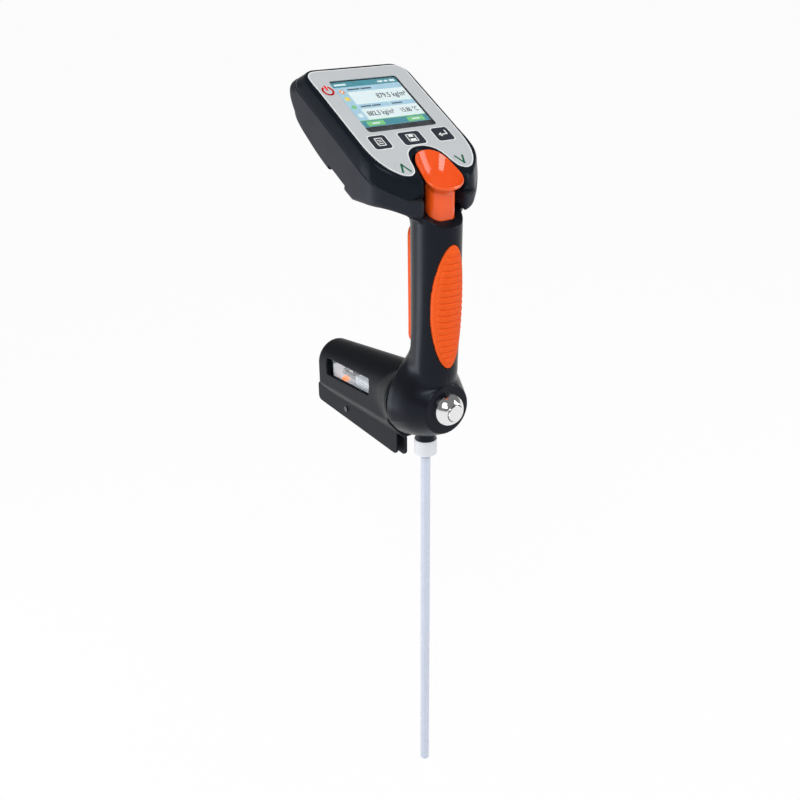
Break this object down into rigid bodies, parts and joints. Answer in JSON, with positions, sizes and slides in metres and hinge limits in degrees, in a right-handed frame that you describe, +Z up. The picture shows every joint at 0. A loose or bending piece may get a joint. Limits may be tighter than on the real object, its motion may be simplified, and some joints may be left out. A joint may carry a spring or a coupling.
{
  "type": "portable density meter",
  "caption": "Hand-held liquid density meter: tilted display head on a grip, thumb lever that pumps the sample, cell housing with windows below and a straight sampling tube.",
  "frame": {"origin": "middle of the grip, on its axis", "axes": "+Z up the grip, -Y to the palm of the user, +X to the right of the user"},
  "size_m": [0.083, 0.176, 0.5381],
  "materials": {
    "case": "satin",
    "panel": "satin",
    "key": "satin",
    "panel_key": "satin",
    "lever": "gloss",
    "pad": "satin",
    "lens": "clear",
    "display": "lit",
    "board": "satin",
    "switch": "satin",
    "battery": "gloss",
    "gasket": "matte",
    "steel": "satin",
    "chrome": "polished",
    "nut": "satin",
    "tube": "translucent",
    "hose": "translucent",
    "window": "clear",
    "cell_glass": "clear",
    "cell_body": "satin",
    "tray": "satin",
    "lamp": "lit"
  },
  "bodies": {
    "meter": {"barrel_cap": "nut", "battery_cells": "battery", "battery_door": "case", "button_base": "switch", "button_bezel": "chrome", "button_nut": "steel", "case_gasket": "gasket", "case_screws": "steel", "cell_block": "cell_body", "cell_cover": "case", "cell_frame": "tray", "cell_lamp": "lamp", "cell_tube": "cell_glass", "display_lens": "lens", "display_module": "display", "finger_pad": "pad", "handle_left": "case", "handle_right": "case", "handle_screws": "steel", "head_case": "case", "head_cover": "case", "inlet_fitting": "case", "keel_screw": "steel", "key_switches": "switch", "main_board": "board", "neck_screws": "steel", "palm_pad": "pad", "panel_overlay": "panel", "pump_barrel": "nut", "pump_hose": "hose", "return_spring": "steel", "ring_gasket": "gasket", "sampling_tube": "tube", "tube_ferrule": "nut", "tube_nut": "nut", "window_left": "window", "window_right": "window"},
    "pump": {"pump_lever": "lever", "pump_rod": "steel", "pump_piston": "nut", "piston_seal": "gasket"},
    "menu_key": {"menu_key": "key"},
    "save_key": {"save_key": "key"},
    "enter_key": {"enter_key": "key"},
    "power_key": {"power_key": "panel_key"},
    "up_key": {"up_key": "panel_key"},
    "down_key": {"down_key": "panel_key"},
    "button": {"button_cap": "chrome"}
  },
  "joints": [
    {"name": "pump_slide", "type": "slide", "parent": "meter", "child": "pump", "axis": [0, 0, -1], "range_m": [0, 0.014], "stiffness_N_per_m": 700, "springref_m": -0.006, "deforming": ["return_spring"]},
    {"name": "menu_key_press", "type": "slide", "parent": "meter", "child": "menu_key", "axis": [0, 0.4848, -0.8746], "range_m": [0, 0.0005], "stiffness_N_per_m": 3000, "springref_m": -0.0003},
    {"name": "save_key_press", "type": "slide", "parent": "meter", "child": "save_key", "axis": [0, 0.4848, -0.8746], "range_m": [0, 0.0005], "stiffness_N_per_m": 3000, "springref_m": -0.0003},
    {"name": "enter_key_press", "type": "slide", "parent": "meter", "child": "enter_key", "axis": [0, 0.4848, -0.8746], "range_m": [0, 0.0005], "stiffness_N_per_m": 3000, "springref_m": -0.0003},
    {"name": "power_key_press", "type": "slide", "parent": "meter", "child": "power_key", "axis": [0, 0.4848, -0.8746], "range_m": [0, 0.0005], "stiffness_N_per_m": 3000, "springref_m": -0.0003},
    {"name": "up_key_press", "type": "slide", "parent": "meter", "child": "up_key", "axis": [0, 0.4848, -0.8746], "range_m": [0, 0.0005], "stiffness_N_per_m": 3000, "springref_m": -0.0003},
    {"name": "down_key_press", "type": "slide", "parent": "meter", "child": "down_key", "axis": [0, 0.4848, -0.8746], "range_m": [0, 0.0005], "stiffness_N_per_m": 3000, "springref_m": -0.0003},
    {"name": "button_press", "type": "slide", "parent": "meter", "child": "button", "axis": [0, 1, 0], "range_m": [0, 0.002], "stiffness_N_per_m": 1800, "springref_m": -0.001}
  ]
}
